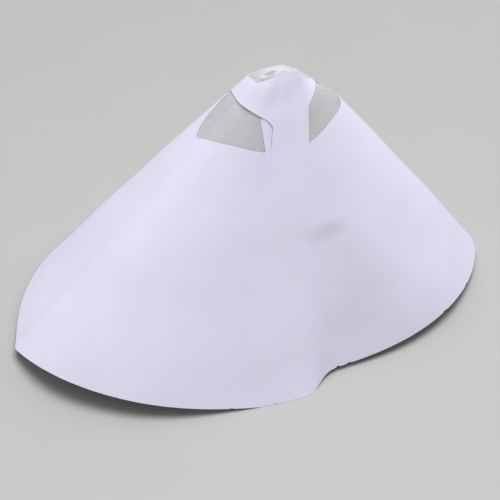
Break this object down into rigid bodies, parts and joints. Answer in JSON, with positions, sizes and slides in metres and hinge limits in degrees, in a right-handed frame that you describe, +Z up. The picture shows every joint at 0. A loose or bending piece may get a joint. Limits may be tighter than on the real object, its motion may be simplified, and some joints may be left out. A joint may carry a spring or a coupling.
{
  "type": "paper cone paint strainer",
  "caption": "Disposable paper cone strainer with nylon mesh windows in its tip, standing mouth down; it folds flat at its side folds.",
  "frame": {"origin": "centre of the bounding box's bottom, on the surface that the mouth stands on", "axes": "+Z up to the tip, +X from the left fold to the right fold along the mouth's long axis, -Y towards the glued seam"},
  "size_m": [0.1892, 0.1178, 0.1251],
  "materials": {
    "paper": "matt, slightly bluish white, die-cut",
    "nylon_mesh": "fine translucent woven nylon",
    "glue": "thin clear adhesive film"
  },
  "bodies": {
    "tip": {"tip_collar": "paper", "tip_seam_glue": "glue", "mesh_cone": "nylon_mesh", "collar_glue": "glue", "left_fold": "paper"},
    "front_left": {"front_left_panel": "paper", "front_left_mesh_hem": "nylon_mesh", "front_left_hem_glue": "glue", "seam_flap": "paper", "seam_glue": "glue"},
    "front_right": {"front_right_panel": "paper", "front_right_mesh_hem": "nylon_mesh", "front_right_hem_glue": "glue"},
    "back_right": {"back_right_panel": "paper", "back_right_mesh_hem": "nylon_mesh", "back_right_hem_glue": "glue"},
    "back_left": {"back_left_panel": "paper", "back_left_mesh_hem": "nylon_mesh", "back_left_hem_glue": "glue"}
  },
  "joints": [
    {"name": "front_left_fold", "type": "hinge", "parent": "tip", "child": "front_left", "pos_m": [0.01354, -0.00482, 0.1327], "axis": [0.6443, -0.0104, 0.7647], "range_deg": [0, 24]},
    {"name": "back_left_fold", "type": "hinge", "parent": "tip", "child": "back_left", "pos_m": [0.01354, -0.00482, 0.1327], "axis": [-0.6443, 0.0104, -0.7647], "range_deg": [0, 24.8]},
    {"name": "front_bend", "type": "hinge", "parent": "front_left", "child": "front_right", "pos_m": [0.01354, -0.00482, 0.1327], "axis": [0.099, -0.3701, -0.9237], "range_deg": [0, 50.5]},
    {"name": "back_bend", "type": "hinge", "parent": "back_left", "child": "back_right", "pos_m": [0.01354, -0.00482, 0.1327], "axis": [-0.0551, -0.3908, 0.9188], "range_deg": [0, 49]}
  ],
  "couplings": [
    {"joint": "back_left_fold", "follows": "front_left_fold", "ratio": 1.033},
    {"joint": "front_bend", "follows": "front_left_fold", "ratio": 2.1},
    {"joint": "back_bend", "follows": "front_left_fold", "ratio": 2.035}
  ]
}
